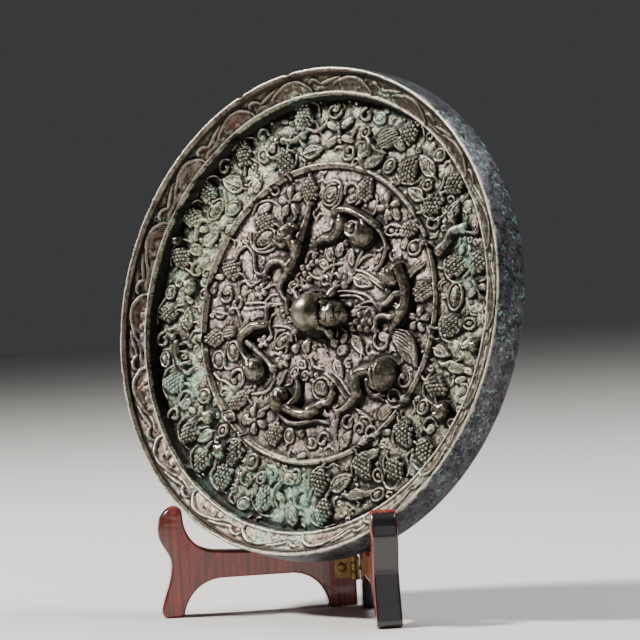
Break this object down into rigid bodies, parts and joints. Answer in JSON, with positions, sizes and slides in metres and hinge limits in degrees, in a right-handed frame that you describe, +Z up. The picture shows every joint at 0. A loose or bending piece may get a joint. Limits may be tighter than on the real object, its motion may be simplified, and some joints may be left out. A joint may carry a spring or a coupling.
{
  "type": "ancient bronze mirror on a folding stand",
  "caption": "Round cast bronze mirror with lion-and-grapevine relief on its back, leaning on a small hinged hardwood display stand.",
  "frame": {"origin": "on the table, under the middle of the whole object's box", "axes": "+Z up, -Y the way the decorated back of the mirror faces, +X to the right of someone who looks at it"},
  "size_m": [0.1728, 0.0554, 0.1893],
  "materials": {
    "bronze": null,
    "red_wood": "glossy lacquered red hardwood with dark slanting grain",
    "hinge_brass": "dull yellow brass"
  },
  "bodies": {
    "root": {"stand_board_left": "red_wood", "hinge_leaf_left": "hinge_brass", "hinge_screw_left": "hinge_brass", "stand_board_right": "red_wood", "hinge_leaf_right": "hinge_brass", "hinge_screw_right": "hinge_brass", "hinge_pin": "hinge_brass", "bronze_mirror": "bronze"}
  },
  "joints": []
}
